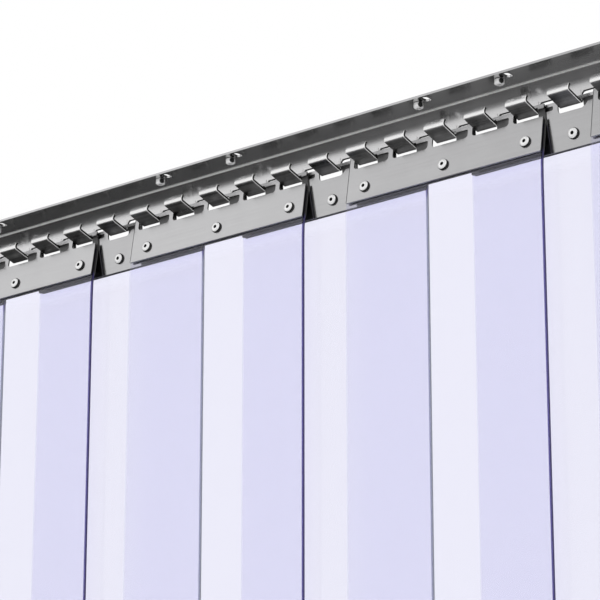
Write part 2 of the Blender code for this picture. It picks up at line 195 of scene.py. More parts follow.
def brushed_steel(name, shade, gloss, streaks, grain=1.0, metal=1.0, line=1100.0):
    steel = bpy.data.materials.new(name)
    steel.use_nodes = True
    tree = steel.node_tree
    surface = tree.nodes["Principled BSDF"]
    surface.inputs["Metallic"].default_value = metal
    surface.inputs["Anisotropic"].default_value = 0.65 * grain
    surface.inputs["Anisotropic Rotation"].default_value = 0.25
    where = tree.nodes.new("ShaderNodeTexCoord")
    along = GRAIN_ALONG if grain else TURNED_ALONG
    fine = noise(tree, where, (along, line, line), 4.0)
    broad = noise(tree, where, (along * 0.6, BROAD_LINES, BROAD_LINES), 3.0)
    clouds = noise(tree, where, (CLOUDS, CLOUDS, CLOUDS), 3.0)
    both = blend(tree, 0.4, blend(tree, 0.5, fine, broad, "FLOAT"), clouds, "FLOAT")
    tone = stretch(tree, both, 0.3, 0.7, shade * (1 - streaks), shade * (1 + streaks))
    paint = tree.nodes.new("ShaderNodeCombineColor")
    for channel in ("Red", "Green", "Blue"):
        tree.links.new(tone, paint.inputs[channel])
    tangent = tree.nodes.new("ShaderNodeCombineXYZ")
    tangent.inputs["X"].default_value = 1.0
    bump = tree.nodes.new("ShaderNodeBump")
    bump.inputs["Strength"].default_value = 0.12
    bump.inputs["Distance"].default_value = 0.1 * MM
    tree.links.new(fine, bump.inputs["Height"])
    fill(tree, surface.inputs["Base Color"], paint.outputs["Color"])
    fill(tree, surface.inputs["Roughness"], stretch(tree, both, 0.3, 0.7, gloss * 0.8, gloss * 1.2))
    fill(tree, surface.inputs["Tangent"], tangent.outputs["Vector"])
    fill(tree, surface.inputs["Normal"], bump.outputs["Normal"])
    return steel


print("steel finish ready")

# %% [markdown]
# ## Nine steels
# It is all bright metal, and several steels carry painted light. The plates are less streaked than the
# rail. Cut edges are dark and rough, and their steel is painted darker still as shade and as the dark
# room they mirror. Punched corners are worn, and their steel is also painted pale as a highlight. The
# hook undersides are painted dark as shade, the lip fronts pale as light, and the clamp plates dark as
# the shade behind the windows. Rivets and screws are painted near white as highlights: a lower metal
# value lets white light scatter.

# %% Steels
rail_steel = brushed_steel("rail steel", shade=0.66, gloss=0.15, streaks=0.16)
plate_steel = brushed_steel("plate steel", shade=0.66, gloss=0.20, streaks=0.07)
shaded_clamp_steel = brushed_steel("clamp steel painted dark as shade", shade=0.22, gloss=0.34, streaks=0.12)
highlight_rivet_steel = brushed_steel("rivet steel painted white as highlight", shade=0.99, gloss=0.20, streaks=0.01, grain=0, metal=0.25)
highlight_screw_steel = brushed_steel("screw steel painted white as highlight", shade=0.99, gloss=0.10, streaks=0.01, grain=0, metal=0.25)
cut_edge_shade_steel = brushed_steel("cut edge steel painted dark as shade", shade=0.035, gloss=0.50, streaks=0.10, metal=0.5)
worn_highlight_steel = brushed_steel("worn corner steel painted pale as highlight", shade=0.80, gloss=0.40, streaks=0.05, metal=0.4)
shaded_underside_steel = brushed_steel("hook underside steel painted dark as shade", shade=0.36, gloss=0.30, streaks=0.95, line=330.0)
lit_lip_steel = brushed_steel("lip steel painted pale as light", shade=0.86, gloss=0.20, streaks=0.08, metal=0.78)
print("nine steels")

# %% [markdown]
# ## Clear PVC
# The strips are soft clear PVC with a faint violet tint and a little haze. Bending light through a long
# thin slab is slow and noisy, so each face of the slab only tints what is behind it and adds a veil of
# haze. One layer then tints the white behind it, and two layers do it twice. The veil is painted thinner
# near the plates, as painted shade where the rail keeps the light off, and a dark line is painted down
# one edge for light trapped in the sheet.

# %% PVC film
CLEAR_TINT, HAZY_TINT = (0.900, 0.898, 0.961, 1), (0.806, 0.790, 0.862, 1)
THIN_VEIL, FULL_VEIL = (0.030, 0.030, 0.034, 1), (0.123, 0.138, 0.128, 1)
RIM_TINT, NO_VEIL = (0.14, 0.12, 0.32, 1), (0, 0, 0, 1)


def empty_material(name):
    material = bpy.data.materials.new(name)
    material.use_nodes = True
    material.node_tree.nodes.clear()
    return material


pvc = empty_material("clear violet pvc")
tree = pvc.node_tree
where = tree.nodes.new("ShaderNodeTexCoord")
spot = tree.nodes.new("ShaderNodeSeparateXYZ")
across = tree.nodes.new("ShaderNodeSeparateXYZ")
tree.links.new(where.outputs["Object"], spot.inputs[0])
tree.links.new(where.outputs["Generated"], across.inputs[0])
# Painted shade: the veil is thinner near the plates, by height.
lit = stretch(tree, spot.outputs["Z"], -77 * MM, -88 * MM, smooth=True)
# Painted shade: a dark line down one edge of each strip.
rim = stretch(tree, across.outputs["X"], 0.9920, 0.9935)
through = tree.nodes.new("ShaderNodeBsdfTransparent")
haze = tree.nodes.new("ShaderNodeBsdfDiffuse")
film = tree.nodes.new("ShaderNodeAddShader")
fill(tree, through.inputs["Color"], blend(tree, rim, blend(tree, lit, CLEAR_TINT, HAZY_TINT), RIM_TINT))
fill(tree, haze.inputs["Color"], blend(tree, rim, blend(tree, lit, THIN_VEIL, FULL_VEIL), NO_VEIL))
tree.links.new(through.outputs[0], film.inputs[0])
tree.links.new(haze.outputs[0], film.inputs[1])
print("clear film")

# %% [markdown]
# ## Gloss on the strips
# Clear plastic mirrors more at a slant than face on, which Fresnel gives. Only the outer side of each
# face mirrors, or the light inside the slab would be counted twice. A very weak ripple breaks up the
# mirror image, because soft strip never lies quite flat. A small helper adds the node that reckons with
# two numbers.

# %% PVC gloss
def reckon(tree, operation, first, second):
    step = tree.nodes.new("ShaderNodeMath")
    step.operation = operation
    fill(tree, step.inputs[0], first)
    fill(tree, step.inputs[1], second)
    return step.outputs[0]


waves = tree.nodes.new("ShaderNodeTexNoise")
waves.inputs["Scale"].default_value = 7.0
tree.links.new(where.outputs["Object"], waves.inputs["Vector"])
ripple = tree.nodes.new("ShaderNodeBump")
ripple.inputs["Strength"].default_value = 0.03
ripple.inputs["Distance"].default_value = 1 * MM
tree.links.new(waves.outputs["Fac"], ripple.inputs["Height"])
slant = tree.nodes.new("ShaderNodeFresnel")
slant.inputs["IOR"].default_value = 1.45
facing = tree.nodes.new("ShaderNodeNewGeometry")
outside = reckon(tree, "SUBTRACT", 1.0, facing.outputs["Backfacing"])
mirror = tree.nodes.new("ShaderNodeBsdfGlossy")
mirror.inputs["Roughness"].default_value = 0.08
tree.links.new(ripple.outputs["Normal"], mirror.inputs["Normal"])
mixed = tree.nodes.new("ShaderNodeMixShader")
out = tree.nodes.new("ShaderNodeOutputMaterial")
tree.links.new(reckon(tree, "MULTIPLY", slant.outputs["Fac"], outside), mixed.inputs["Fac"])
tree.links.new(film.outputs[0], mixed.inputs[1])
tree.links.new(mirror.outputs[0], mixed.inputs[2])
tree.links.new(mixed.outputs[0], out.inputs["Surface"])
print("clear pvc")

# %% [markdown]
# ## Cut edges of the strips
# Light runs sideways through the sheet and leaves at the cut edges far from where it entered, so from
# outside an edge looks dark blue, while from inside it is nearly clear; that dark blue is painted into
# the edge's colour. Between the steel plates no light gets in, so the edge is painted black there as
# shade, and a mask that fades over five millimetres tells the two apart. The knife leaves fine lines
# across the edge.

# %% Edge finish
def fade(tree, value, full, none):
    return stretch(tree, value, full, none, 1.0, 0.0, smooth=True)


edge_pvc = empty_material("cut pvc edge")
tree = edge_pvc.node_tree
where = tree.nodes.new("ShaderNodeTexCoord")
spot = tree.nodes.new("ShaderNodeSeparateXYZ")
tree.links.new(where.outputs["Object"], spot.inputs[0])
# Painted shade: black between the plates, dark blue below them.
below_plates = fade(tree, spot.outputs["Z"], -71 * MM, -66 * MM)
edge_colour = blend(tree, below_plates, (0.003, 0.003, 0.004, 1), (0.035, 0.028, 0.12, 1))
knife = noise(tree, where, (300.0, 300.0, 900.0), 2.0)
dark = tree.nodes.new("ShaderNodeBsdfPrincipled")
fill(tree, dark.inputs["Base Color"], edge_colour)
fill(tree, dark.inputs["Roughness"], stretch(tree, knife, 0.3, 0.7, 0.25, 0.45))
clear = tree.nodes.new("ShaderNodeBsdfTransparent")
clear.inputs["Color"].default_value = (0.97, 0.97, 0.99, 1)
facing = tree.nodes.new("ShaderNodeNewGeometry")
mixed = tree.nodes.new("ShaderNodeMixShader")
out = tree.nodes.new("ShaderNodeOutputMaterial")
tree.links.new(facing.outputs["Backfacing"], mixed.inputs["Fac"])
tree.links.new(dark.outputs[0], mixed.inputs[1])
tree.links.new(clear.outputs[0], mixed.inputs[2])
tree.links.new(mixed.outputs[0], out.inputs["Surface"])
print("cut edges")

# %% [markdown]
# ## Plate rims
# The shears leave a rounded rim on the left end of each plate, and it mirrors the dark room. That
# reflection is painted as a thin dark line, which shows where a front plate lies over a back one. A mask
# along the plate's own length makes it.

# %% Plate rims
tree = plate_steel.node_tree
surface = tree.nodes["Principled BSDF"]
where = tree.nodes.new("ShaderNodeTexCoord")
along = tree.nodes.new("ShaderNodeSeparateXYZ")
tree.links.new(where.outputs["Generated"], along.inputs[0])
# Painted reflection: a dark line at the plate's left end.
left_end = fade(tree, along.outputs["X"], 0.002, 0.0055)
plain = surface.inputs["Base Color"].links[0].from_socket
fill(tree, surface.inputs["Base Color"], blend(tree, left_end, plain, (0.16, 0.16, 0.16, 1)))
print("plate rims")

# %% [markdown]
# ## Rounded outlines
# Every window, gap and fold here is drawn with sharp corners, each with its own radius. The helper puts
# an arc of short lines in place of each corner: its centre lies on the line that halves the corner, as
# far in as the radius needs. A radius of zero keeps the corner sharp.

# %% Fillets
def fillet(corners, steps=6):
    points = []
    count = len(corners)
    for i, (a, b, radius) in enumerate(corners):
        here = Vector((a, b))
        if radius == 0:
            points.append(here)
            continue
        back = (Vector(corners[i - 1][:2]) - here).normalized()
        ahead = (Vector(corners[(i + 1) % count][:2]) - here).normalized()
        half = math.acos(max(-1.0, min(1.0, back.dot(ahead)))) / 2
        centre = here + (back + ahead).normalized() * (radius / math.sin(half))
        start = here + back * (radius / math.tan(half)) - centre
        finish = here + ahead * (radius / math.tan(half)) - centre
        turn = start.angle_signed(finish)
        points += [centre + Matrix.Rotation(-turn * k / steps, 2) @ start for k in range(steps + 1)]
    return [tuple(p) for p in points]


print("a rounded triangle has", len(fillet([(0, 0, 1), (8, 0, 1), (0, 8, 1)])), "points")

# %% [markdown]
# ## Bent sheet
# Every flat piece here is bent sheet: a side profile swept along the rail and thickened. Sweeping an
# open line and thickening it later keeps the gauge even round every bend, as a press brake does.

# %% Sheet helpers
def link(name, bm):
    mesh = bpy.data.meshes.new(name)
    bm.to_mesh(mesh)
    bm.free()
    piece = bpy.data.objects.new(name, mesh)
    bpy.context.scene.collection.objects.link(piece)
    return piece


def swept_sheet(name, profile, x0, x1, thickness, side):
    bm = bmesh.new()
    verts = [bm.verts.new((x0, y, z)) for y, z in profile]
    edges = [bm.edges.new(pair) for pair in zip(verts, verts[1:])]
    swept = bmesh.ops.extrude_edge_only(bm, edges=edges)
    moved = [g for g in swept["geom"] if isinstance(g, bmesh.types.BMVert)]
    bmesh.ops.translate(bm, verts=moved, vec=(x1 - x0, 0, 0))
    piece = link(name, bm)
    solidify = piece.modifiers.new("thickness", "SOLIDIFY")
    solidify.thickness = thickness
    solidify.offset = side
    solidify.use_even_offset = True
    return piece


print("sheet helpers ready")

# %% [markdown]
# ## Cutters
# Holes and windows are cut with closed solids, like punches. Many prisms and cylinders share one mesh,
# so a plate needs only one cut. All of them run past the sheet on both sides, because a cutter that
# ends on a face leaves slivers.

# %% Cutters
PAST = 5 * MM


def add_prism(bm, outline, axis, low, high):
    if axis == "Y":
        corners = [(a, low, b) for a, b in outline]
        along = (0, high - low, 0)
    else:
        corners = [(a, b, low) for a, b in outline]
        along = (0, 0, high - low)
    base = bm.faces.new([bm.verts.new(c) for c in corners])
    grown = bmesh.ops.extrude_face_region(bm, geom=[base])
    moved = [g for g in grown["geom"] if isinstance(g, bmesh.types.BMVert)]
    bmesh.ops.translate(bm, verts=moved, vec=along)


def add_post(bm, radius, depth, place, sides=32):
    bmesh.ops.create_cone(bm, cap_ends=True, segments=sides, radius1=radius, radius2=radius,
                          depth=depth, matrix=place)


def add_bore(bm, x, z, radius, low, high):
    place = Matrix.Translation((x, (low + high) / 2, z)) @ Matrix.Rotation(math.pi / 2, 4, "X")
    add_post(bm, radius, high - low, place)


def cut(piece, bm):
    bmesh.ops.recalc_face_normals(bm, faces=bm.faces)
    tool = link("tool", bm)
    boolean = piece.modifiers.new("cut", "BOOLEAN")
    boolean.operation = "DIFFERENCE"
    boolean.object = tool
    return tool


print("cutters ready")

# %% [markdown]
# ## Finishing a piece
# The cuts and the rounding of sharp edges are modifiers. Once they are right they are frozen into the
# mesh, and the mesh is shaded smooth except where two faces meet at a real corner. Weighted normals let
# the large flat faces keep their own direction, or the shading would bend across them.

# %% Freeze a piece
def freeze(piece, tools, material, edge=0.2 * MM, place=None, smooth=40):
    if edge:
        bevel = piece.modifiers.new("edges", "BEVEL")
        bevel.width = edge
        bevel.segments = 2
        bevel.limit_method = "ANGLE"
        bevel.angle_limit = math.radians(50)
    for weighted in (False, True):
        if weighted:
            normals = piece.modifiers.new("normals", "WEIGHTED_NORMAL")
            normals.keep_sharp = True
        bpy.context.view_layer.update()
        graph = bpy.context.evaluated_depsgraph_get()
        done = bpy.data.meshes.new_from_object(piece.evaluated_get(graph), depsgraph=graph)
        piece.modifiers.clear()
        piece.data = done
        if not weighted:
            if place:
                done.transform(place)
            done.shade_smooth()
            done.set_sharp_from_angle(angle=math.radians(smooth))
    for tool in tools:
        bpy.data.objects.remove(tool)
    done.materials.clear()
    done.materials.append(material)


print("freezing ready")

# %% [markdown]
# ## Dark ends and the CAD frame
# Faces that look along the rail, the sheared ends, get a second material: dark cut steel, painted darker
# as shade and reflection. Then each piece replaces its CAD node and rides on the body that carries it.

# %% Ends and places
def dark_ends(piece):
    # Painted shade: ends that look along the rail get the dark steel.
    piece.data.materials.append(cut_edge_shade_steel)
    for face in piece.data.polygons:
        if abs(face.normal.x) > 0.9:
            face.material_index = 1


def stand_for(piece, node, body):
    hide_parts(node)
    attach(piece, body)


print("finish helpers ready")

# %% [markdown]
# ## The rail's fold
# One sheet, 2 mm thick, makes the whole rail: a flange against the lintel, a vertical flange, and at its
# foot the fingers, folded forward and up with a lip that starts nearly upright and curls back. The
# profile is the sheet's inner face, as a sheet metal worker would draw it.

# %% Rail sheet
SHEET = 2.0 * MM
PITCH = 41.0 * MM
FACE_Y = 14.7 * MM
SOFFIT = 29.3 * MM
RAIL_END = 13 * PITCH
BEND_RADIUS = 0.6 * MM
ROOT_DROP = 28.75 * MM
SLOPE = math.radians(16.0)
SLOPE_LENGTH = 17.6 * MM
LIP_LEAN = math.radians(27.4)
LIP_CURL = 19.0
LIP_STEP = 0.7714 * MM
bend = []
for k in range(9):
    angle = -(math.pi / 2 + SLOPE) * k / 8
    bend.append((BEND_RADIUS * math.cos(angle) - BEND_RADIUS,
                 BEND_RADIUS * math.sin(angle) - ROOT_DROP))
nose = (bend[-1][0] - SLOPE_LENGTH * math.cos(SLOPE), bend[-1][1] + SLOPE_LENGTH * math.sin(SLOPE))
lip = [nose]
for curl in range(-3, 4):
    turn = LIP_LEAN + math.radians(LIP_CURL * curl / 3)
    lip.append((lip[-1][0] + LIP_STEP * math.sin(turn), lip[-1][1] + LIP_STEP * math.cos(turn)))
top = fillet([(-SOFFIT, 0, 0), (0, 0, BEND_RADIUS), (*bend[0], 0)])
hook = fillet([(*bend[-1], 0), (*nose, 0.4 * MM), (*lip[1], 0)])
inside = [(y + FACE_Y, z - SHEET) for y, z in top + bend[1:] + hook[1:] + lip[2:]]
rail = swept_sheet("rail", inside, -RAIL_END, RAIL_END, SHEET, 1.0)
print("rail sheet,", round(2 * RAIL_END, 3), "m long")

# %% [markdown]
# ## Comb gaps
# The fingers are what is left when the gaps are punched out: 26 fingers as wide as their gaps. Two
# cutters do it, because the gaps have round top corners in the flange and the lips have round corners
# of their own further forward. At both ends of the rail the last gap is open.

# %% Cut the comb
FINGERS = 26
FINGER_HALF = PITCH / 4
GAP_CORNER = 3 * MM
LIP_CORNER = 2.6 * MM
BELOW_ALL = -40 * MM
GAP_TOP = -21.5 * MM - SHEET
LIP_TOP = lip[-1][1] + SHEET * math.sin(LIP_LEAN + math.radians(LIP_CURL)) - SHEET
LIP_OPEN = LIP_TOP + PAST
GAP_DEPTH = (FACE_Y - 8 * MM, FACE_Y + 7 * MM)
LIP_DEPTH = (FACE_Y - SOFFIT, FACE_Y - 7.7 * MM)
finger_x = [(i - (FINGERS - 1) / 2) * PITCH for i in range(FINGERS)]
arc = [(LIP_CORNER * (1 - math.cos(t)), LIP_TOP - LIP_CORNER * (1 - math.sin(t)))
       for t in [math.pi / 2 * k / 6 for k in range(7)]]
gaps, lips = bmesh.new(), bmesh.new()
for i in range(FINGERS + 1):
    first, last = i == 0, i == FINGERS
    a = -RAIL_END - PAST if first else finger_x[i - 1] + FINGER_HALF
    b = RAIL_END + PAST if last else finger_x[i] - FINGER_HALF
    add_prism(gaps, fillet([(a, BELOW_ALL, 0), (b, BELOW_ALL, 0),
                            (b, GAP_TOP, 0 if last else GAP_CORNER),
                            (a, GAP_TOP, 0 if first else GAP_CORNER)]), "Y", *GAP_DEPTH)
    right, left = [(b, LIP_OPEN)], [(a, LIP_OPEN)]
    if not last:
        right = [(b + x, z) for x, z in arc] + [(b + LIP_CORNER, LIP_OPEN)]
    if not first:
        left = [(a - LIP_CORNER, LIP_OPEN)] + [(a - x, z) for x, z in reversed(arc)]
    add_prism(lips, [(a, BELOW_ALL), (b, BELOW_ALL)] + right + left, "Y", *LIP_DEPTH)
rail_tools = [cut(rail, gaps), cut(rail, lips)]
print("comb of", len(finger_x), "fingers")

# %% [markdown]
# ## Holes for the screws
# Seven screws hold the rail. Beside each is an oval hole for a second one, cut across the flange so that
# the rail can be squared up while it is fitted.

# %% Cut the screw holes
HOLE_RADIUS = 2.9 * MM
SPARE_FROM, SPARE_TO, SPARE_HALF = 7.4 * MM, 13.4 * MM, 4.75 * MM
screw_x = [-117.9 * MM + n * PITCH for n in (-7, -5, 0, 2, 7, 9, 14)]
screw_y = FACE_Y - 19.0 * MM
spare_y = FACE_Y - 22.25 * MM
holes = bmesh.new()
for x in screw_x:
    add_post(holes, HOLE_RADIUS, 8 * MM, Matrix.Translation((x, screw_y, -SHEET / 2)))
    a, b = x + SPARE_FROM, x + SPARE_TO
    c, d = spare_y - SPARE_HALF, spare_y + SPARE_HALF
    oval = fillet([(a, c, HOLE_RADIUS), (b, c, HOLE_RADIUS), (b, d, HOLE_RADIUS), (a, d, HOLE_RADIUS)])
    add_prism(holes, oval, "Z", -SHEET - PAST, PAST)
rail_tools.append(cut(rail, holes))
freeze(rail, rail_tools, rail_steel)
print("rail", len(rail.data.polygons), "faces")

# %% [markdown]
# ## Finishes by place on the rail
# A press and a punch treat each face in their own way, and some faces carry painted light. So each face
# of the frozen mesh is sorted by where it lies, in millimetres, and by where it looks: cut walls get
# dark steel, partly painted reflection, the downward cut edge over each gap is painted dark as shade,
# walls at the lips are worn and painted pale as a highlight, the undersides of the hooks get steel
# painted dark as shade, and the fronts of the hooks get steel painted pale as light.

# %% Sort the rail's faces
CUT_OR_SHADE, WORN_HIGHLIGHT, UNDERSIDE, LIP_FRONT = 1, 2, 3, 4
dark_ends(rail)
for steel in (worn_highlight_steel, shaded_underside_steel, lit_lip_steel):
    rail.data.materials.append(steel)
for face in rail.data.polygons:
    y, z, n = face.center.y / MM, face.center.z / MM, face.normal
    if face.material_index == CUT_OR_SHADE:
        continue
    # Cut walls of the flange get dark steel, partly painted reflection; walls at the lips are painted
    # pale.
    if abs(n.x) > 0.3:
        face.material_index = CUT_OR_SHADE if z > -25 and y > 14.6 else WORN_HIGHLIGHT
    # Painted shade: the downward cut edge over each gap.
    elif -27 < z < -20 and 14.6 < y < 16.8 and n.z < -0.4:
        face.material_index = CUT_OR_SHADE
    # Painted shade: hook undersides.
    elif z < -27.5 and y < 16 and n.z < -0.8:
        face.material_index = UNDERSIDE
    # Painted light: lip fronts.
    elif z < -18 and y < 4 and n.y < -0.3:
        face.material_index = LIP_FRONT
stand_for(rail, "hook_rail", "rail")
print(len(rail.data.materials), "finishes on the rail")

# %% [markdown]
# ## Painted highlights on bends and corners
# Where the press brake folded the rail, the sheet is stretched and dulled by its rubbing, and the long
# fold and the nose of each hook get painted highlights: light lines painted into the steel. So does the
# right-hand corner under each finger, where the punch broke through. Masks by distance from each bend,
# and by place within the comb's pitch, make the steel paler and duller there. The flange is also painted
# paler downwards as painted light, and a dark line of painted shadow runs along the top of each comb
# gap.

# %% Masks along the rail
FOLD_MIDDLE = (FACE_Y - 0.4 * MM, -SHEET - 0.4 * MM)
NOSE_MIDDLE = (-7.6 * MM, -26.7 * MM)


def near_line(tree, flat, middle, full, none):
    apart = tree.nodes.new("ShaderNodeVectorMath")
    apart.operation = "DISTANCE"
    apart.inputs[1].default_value = (0, *middle)
    tree.links.new(flat.outputs[0], apart.inputs[0])
    return fade(tree, apart.outputs["Value"], full, none)


def rail_masks(tree):
    where = tree.nodes.new("ShaderNodeTexCoord")
    spot = tree.nodes.new("ShaderNodeSeparateXYZ")
    flat = tree.nodes.new("ShaderNodeCombineXYZ")
    tree.links.new(where.outputs["Object"], spot.inputs[0])
    tree.links.new(spot.outputs["Y"], flat.inputs["Y"])
    tree.links.new(spot.outputs["Z"], flat.inputs["Z"])
    x, y, z = (spot.outputs[axis] for axis in "XYZ")
    # Painted highlights: the fold, the nose of each hook and the corner under each finger.
    fold = reckon(tree, "MULTIPLY", near_line(tree, flat, FOLD_MIDDLE, 0.5 * MM, 1.2 * MM), 0.75)
    nose_line = near_line(tree, flat, NOSE_MIDDLE, 2.9 * MM, 3.4 * MM)
    turns = reckon(tree, "DIVIDE", reckon(tree, "SUBTRACT", x, 0.75 * PITCH), PITCH)
    in_pitch = reckon(tree, "SUBTRACT", turns, reckon(tree, "FLOOR", turns, 0.0))
    on_hook = fade(tree, z, GAP_TOP, GAP_TOP + 2 * MM)
    corner = reckon(tree, "MULTIPLY", fade(tree, in_pitch, 0.986, 0.978), on_hook)
    highlight_mask = reckon(tree, "MAXIMUM", reckon(tree, "MAXIMUM", fold, nose_line), corner)
    flange = fade(tree, y, FACE_Y - 0.1 * MM, FACE_Y - 0.6 * MM)
    # Painted light: the flange is painted paler towards its foot.
    low = reckon(tree, "MULTIPLY", fade(tree, z, -22.5 * MM, -10.0 * MM), flange)
    # Painted shadow: a dark line along the top edge of each comb gap.
    gap_shadow = reckon(tree, "MULTIPLY", fade(tree, z, GAP_TOP + 0.38 * MM, GAP_TOP + 0.55 * MM), flange)
    for end, beyond in ((0.06, 0.03), (0.44, 0.47)):
        gap_shadow = reckon(tree, "MULTIPLY", gap_shadow, fade(tree, in_pitch, end, beyond))
    return highlight_mask, low, gap_shadow


print("masks ready")

# %% [markdown]
# ## Mixing the masks in
# Under the painted highlights the steel is paler, duller and less of a mirror. The low part of the
# flange is only painted paler, and the painted shadow over each gap only darker. The masks are mixed in
# ahead of what already feeds each socket, so the brushed streaks stay.

# %% Pale bends
def paint_bend_light_and_shade(steel):
    tree = steel.node_tree
    inputs = tree.nodes["Principled BSDF"].inputs
    highlight_mask, low, gap_shadow = rail_masks(tree)
    light = reckon(tree, "MAXIMUM", highlight_mask, reckon(tree, "MULTIPLY", low, 0.6))
    streaked = inputs["Base Color"].links[0].from_socket
    # Painted highlights and painted light are mixed into the colour here.
    pale = blend(tree, light, streaked, (0.97, 0.97, 0.96, 1))
    # Painted shadow over each comb gap.
    fill(tree, inputs["Base Color"], blend(tree, gap_shadow, pale, (0.02, 0.02, 0.02, 1)))
    rough = inputs["Roughness"].links[0].from_socket
    fill(tree, inputs["Roughness"], blend(tree, highlight_mask, rough, 0.75, "FLOAT"))
    fill(tree, inputs["Metallic"], blend(tree, highlight_mask, inputs["Metallic"].default_value, 0.1, "FLOAT"))


for steel in (rail_steel, shaded_underside_steel, lit_lip_steel):
    paint_bend_light_and_shade(steel)
print("pale bends and finger corners")

# %% [markdown]
# ## Turned pieces
# Screws and rivets are round, so each is half a profile spun about its axis. Spinning the same few
# points always gives the same smooth piece.

# %% Spin helper
def spun(name, profile, steps=32):
    bm = bmesh.new()
    verts = [bm.verts.new((r, 0, z)) for r, z in profile]
    edges = [bm.edges.new(pair) for pair in zip(verts, verts[1:])]
    bmesh.ops.spin(bm, geom=verts + edges, cent=(0, 0, 0), axis=(0, 0, 1), angle=2 * math.pi,
                   steps=steps, use_merge=True)
    bmesh.ops.remove_doubles(bm, verts=bm.verts, dist=1e-6)
    bmesh.ops.recalc_face_normals(bm, faces=bm.faces)
    return link(name, bm)


print("spin helper ready")

# %% [markdown]
# ## Fixing screws
# They are socket head screws, seen from below as bright round heads, painted near white as a highlight.
# The hexagon socket is cut into the head, and its lower rim is rounded; its floor gets the dark steel as
# painted shade. A round dark patch on one side is a painted reflection of the dark room that a real head
# mirrors there, because the pale finish used here scatters light and mirrors only a little.

# %% Screws
GAP = 0.3 * MM
HEAD_RADIUS, HEAD_HEIGHT = 4.2 * MM, 5.0 * MM
SHANK_RADIUS = 2.5 * MM
SOCKET_RADIUS = 2.3 * MM
PATCH_RADIUS = 2.3 * MM
seat = -SHEET - GAP
head_foot = seat - HEAD_HEIGHT
patch_middle = Vector((0.876 * HEAD_RADIUS, -0.487 * HEAD_RADIUS, seat - 2.1 * MM))
rim = [(HEAD_RADIUS * math.cos(t), seat - 3.3 * MM - 1.5 * MM * math.sin(t))
       for t in [math.pi / 2 * k / 6 * 0.9 for k in range(7)]]
head = [(0, 0), (SHANK_RADIUS, 0), (SHANK_RADIUS, seat), (HEAD_RADIUS - 0.2 * MM, seat),
        (HEAD_RADIUS, seat - 0.2 * MM)]
head += [(HEAD_RADIUS, seat - 0.5 * MM * k) for k in range(1, 7)]
head += rim + [(rim[-1][0] * 0.9, head_foot), (0, head_foot)]
for n, x in enumerate(screw_x, 1):
    screw = spun("screw_%d" % n, head, steps=48)
    socket = bmesh.new()
    add_post(socket, SOCKET_RADIUS, 5 * MM, Matrix.Translation((0, 0, head_foot)), sides=6)
    freeze(screw, [cut(screw, socket)], highlight_screw_steel, edge=0, place=Matrix.Translation((x, screw_y, 0)))
    screw.data.materials.append(cut_edge_shade_steel)
    for face in screw.data.polygons:
        spot = face.center - Vector((x, screw_y, 0))
        in_socket = math.hypot(spot.x, spot.y) < SOCKET_RADIUS - 0.05 * MM and spot.z > seat - 4 * MM
        on_patch = (spot - patch_middle).length < PATCH_RADIUS
        # Painted shade on the socket floor, painted reflection on the patch.
        if on_patch or (in_socket and abs(face.normal.z) > 0.9):
            face.material_index = 1
    stand_for(screw, "fixing_screw_%d" % n, "rail")
print(len(screw_x), "screws")

# %% [markdown]
# ## Windows of a hook plate
# Five windows under a thin bar let the fingers through. In the front layer they are plain with a lower
# right part; in the back layer they narrow towards the foot with a slanted shoulder.

# %% Window outlines
BAR = 2.7 * MM
WINDOW_LEFT, WINDOW_RIGHT = 12.3 * MM, 24.2 * MM
FRONT_DEPTH, FRONT_STEP, STEP_AT = 9.1 * MM, 1.4 * MM, 11.5 * MM
BACK_DEPTH, BACK_SHOULDER, NARROW_AT, SLANT = 8.0 * MM, 3.6 * MM, 13.3 * MM, 3.5 * MM
FOOT_CORNER, SIDE_CORNER, TOP_CORNER = 3 * MM, 1.5 * MM, 0.8 * MM


def windows(front, top_z):
    outlines = []
    high = top_z - BAR
    for k in range(5):
        m = (k - 2) * PITCH
        a, b = m - WINDOW_LEFT, m + WINDOW_RIGHT
        if front:
            low, mid, step = high - FRONT_DEPTH, high - FRONT_STEP, m + STEP_AT
            corners = [(a, low, FOOT_CORNER), (b, low, FOOT_CORNER), (b, mid, SIDE_CORNER),
                       (step, mid, 0.4 * MM), (step, high, 0.4 * MM), (a, high, TOP_CORNER)]
        else:
            low, shoulder, c = high - BACK_DEPTH, high - BACK_SHOULDER, m + NARROW_AT
            corners = [(a, low, FOOT_CORNER), (c, low, FOOT_CORNER), (c, shoulder - SLANT, 0.6 * MM),
                       (c + SLANT, shoulder, 0.6 * MM), (b, shoulder, SIDE_CORNER),
                       (b, high, TOP_CORNER), (a, high, TOP_CORNER)]
        outlines.append(fillet(corners))
    return outlines


print("windows with", [len(windows(front, 0.0)[0]) for front in (True, False)], "points")

# %% [markdown]
# ## Hook plate
# The plate hangs by its bar, and its two lower corners are rounded so that they don't catch a hand. The
# front plates also curl very slightly at the foot. The bores for the rivets are half a millimetre wider
# than the shanks.

# %% Hook plate
PLATE = 1.5 * MM
HALF_PLATE = 99.25 * MM
END_RADIUS = 1.0 * MM
BORE_RADIUS = 2.95 * MM
FOOT_CURL, CURL_HEIGHT = 0.3 * MM, 5 * MM


def foot_corners(z):
    outlines = []
    arc = [math.pi / 2 * k / 5 for k in range(6)]
    for s in (-1, 1):
        e = s * HALF_PLATE
        outlines.append([(e + s * PAST, z + END_RADIUS), (e + s * PAST, z - PAST),
                         (e - s * END_RADIUS, z - PAST)]
                        + [(e - s * END_RADIUS * (1 - math.sin(t)), z + END_RADIUS * (1 - math.cos(t)))
                           for t in arc])
    return outlines


